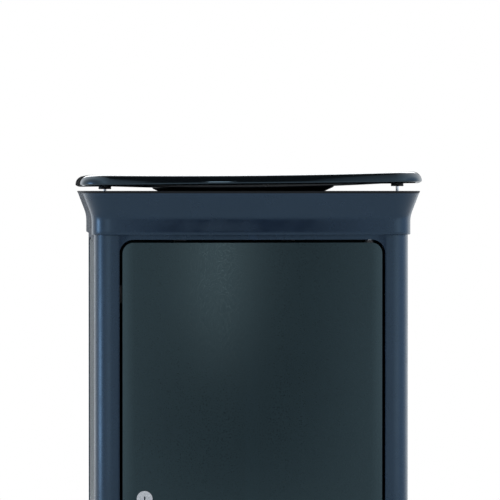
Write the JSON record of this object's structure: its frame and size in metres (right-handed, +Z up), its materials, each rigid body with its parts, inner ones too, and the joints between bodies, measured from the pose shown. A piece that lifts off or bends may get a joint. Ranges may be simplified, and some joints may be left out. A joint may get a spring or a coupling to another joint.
{
  "type": "ashtray bin",
  "caption": "Free-standing litter bin with a flared collar, a hinged lid that carries a lift-out ash tray round a litter throat, a lockable front door and an inner liner.",
  "frame": {"origin": "centre of the base plate's underside, on the ground", "axes": "+Z up, the door and the lid's rests face -Y, +X to the right of someone facing the door"},
  "size_m": [0.566, 0.582, 1.0167],
  "materials": {
    "frame_paint": "satin slate-blue powder coat",
    "collar_paint": "satin slate-blue powder coat with a soft sheen",
    "panel_paint": "fine textured satin powder coat, darker and greener than the frame",
    "lid_gloss": "deep gloss black moulding",
    "lid_satin": "satin black moulding",
    "tray_paint": "satin black enamel with light ash staining inside",
    "trim_rubber": "matt black",
    "pad_rubber": "matt black",
    "bush_plastic": "plain nylon",
    "stainless": "brushed",
    "zinc": "bright zinc plate",
    "lock_chrome": "satin chrome",
    "galvanised": "galvanised with a soft spangle",
    "ballast": "rough, as cast"
  },
  "bodies": {
    "cabinet": {"base_plinth": "frame_paint", "ballast_slab": "ballast", "liner_tray": "galvanised", "body_shell": "frame_paint", "plinth_bolts": "zinc", "door_frame": "frame_paint", "left_panel": "panel_paint", "right_panel": "panel_paint", "rear_panel": "panel_paint", "panel_clips": "zinc", "collar": "collar_paint", "collar_bolts": "zinc", "rim_trim": "trim_rubber", "rest_studs": "stainless", "rest_nuts": "zinc", "rest_pads": "pad_rubber", "lid_hinge_brackets": "frame_paint", "lid_hinge_pins": "stainless", "lid_hinge_screws": "zinc", "door_pivot_brackets": "frame_paint", "door_pivot_pins": "stainless", "door_stops": "pad_rubber", "lock_keeper": "frame_paint"},
    "door": {"door_skin": "panel_paint", "door_stiffeners": "galvanised", "door_pivot_bushes": "bush_plastic", "lock_housing": "lock_chrome", "lock_nut": "zinc"},
    "lock": {"lock_plug": "lock_chrome", "lock_cam": "zinc", "lock_cam_screw": "zinc"},
    "lid": {"lid_top": "lid_gloss", "lid_pan": "lid_satin", "lid_hinge_leaves": "frame_paint", "lid_leaf_screws": "zinc"},
    "ash_tray": {"ash_tray": "tray_paint"},
    "stub_grid": {"stub_grid": "stainless"},
    "liner": {"liner_box": "galvanised", "liner_rim": "galvanised", "liner_lugs": "galvanised", "liner_lug_rivets": "stainless"},
    "left_handle": {"left_handle": "zinc"},
    "right_handle": {"right_handle": "zinc"}
  },
  "joints": [
    {"name": "door_hinge", "type": "hinge", "parent": "cabinet", "child": "door", "pos_m": [0.194, -0.23063, 0.5075], "axis": [0, 0, 1], "range_deg": [0, 90]},
    {"name": "lock_turn", "type": "hinge", "parent": "door", "child": "lock", "pos_m": [-0.178, -0.24864, 0.48], "axis": [0.1271, 0.9919, 0], "range_deg": [0, 90]},
    {"name": "lid_hinge", "type": "hinge", "parent": "cabinet", "child": "lid", "pos_m": [0, 0.292, 0.999], "axis": [-1, 0, 0], "range_deg": [0, 100]},
    {"name": "ash_tray_lift", "type": "slide", "parent": "lid", "child": "ash_tray", "axis": [-0.0105, 0, 0.9999], "range_m": [0, 0.12]},
    {"name": "stub_grid_lift", "type": "slide", "parent": "ash_tray", "child": "stub_grid", "axis": [-0.0105, 0, 0.9999], "range_m": [0, 0.04]},
    {"name": "liner_lift", "type": "slide", "parent": "cabinet", "child": "liner", "axis": [0, 0, 1], "range_m": [0, 0.05]},
    {"name": "left_handle_swing", "type": "hinge", "parent": "liner", "child": "left_handle", "pos_m": [-0.199, 0, 0.8303], "axis": [0, 1, 0], "range_deg": [0, 150]},
    {"name": "right_handle_swing", "type": "hinge", "parent": "liner", "child": "right_handle", "pos_m": [0.199, 0, 0.8303], "axis": [0, -1, 0], "range_deg": [0, 150]}
  ]
}
